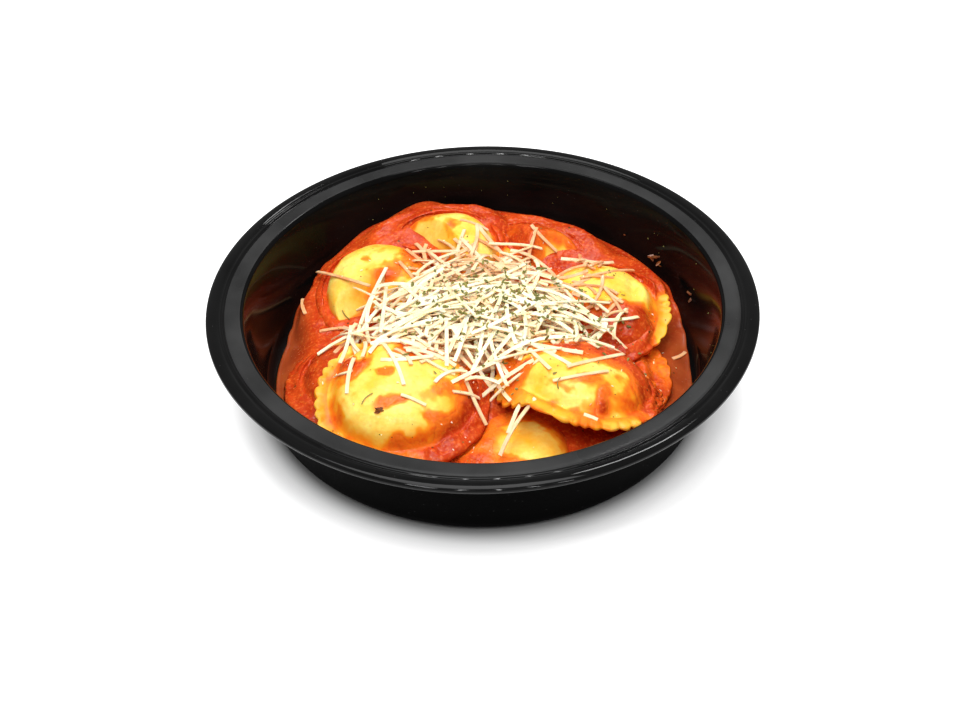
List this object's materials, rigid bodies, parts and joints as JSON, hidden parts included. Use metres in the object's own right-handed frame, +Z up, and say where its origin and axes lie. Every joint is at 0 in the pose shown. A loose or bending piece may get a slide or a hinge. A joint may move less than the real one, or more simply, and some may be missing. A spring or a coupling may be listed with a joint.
{
  "type": "bowl of ravioli",
  "caption": "Round cheese ravioli with crimped edges in tomato sauce, under a heap of shredded hard cheese and dried parsley, in a round black plastic take-away bowl.",
  "frame": {"origin": "middle of the bowl's flat underside", "axes": "+Z up, -Y towards the diner"},
  "size_m": [0.184, 0.184, 0.0364],
  "materials": {
    "black_plastic": "moulded black plastic, glossy wall and rim bead, satin ledge",
    "tomato_sauce": "wet orange-red tomato sauce with coarse pulp",
    "shredded_cheese": "dry cream shreds of hard cheese with flecks of dark green parsley",
    "pasta": "moist egg-yellow pasta with a thin coat of sauce"
  },
  "bodies": {
    "root": {"bowl": "black_plastic", "sauce": "tomato_sauce", "cheese": "shredded_cheese", "ravioli_front_left": "pasta", "ravioli_front_right": "pasta", "ravioli_left": "pasta", "ravioli_back_left": "pasta", "ravioli_right": "pasta", "ravioli_back": "pasta", "ravioli_back_right": "pasta", "ravioli_front": "pasta", "ravioli_right_under": "pasta"}
  },
  "joints": []
}
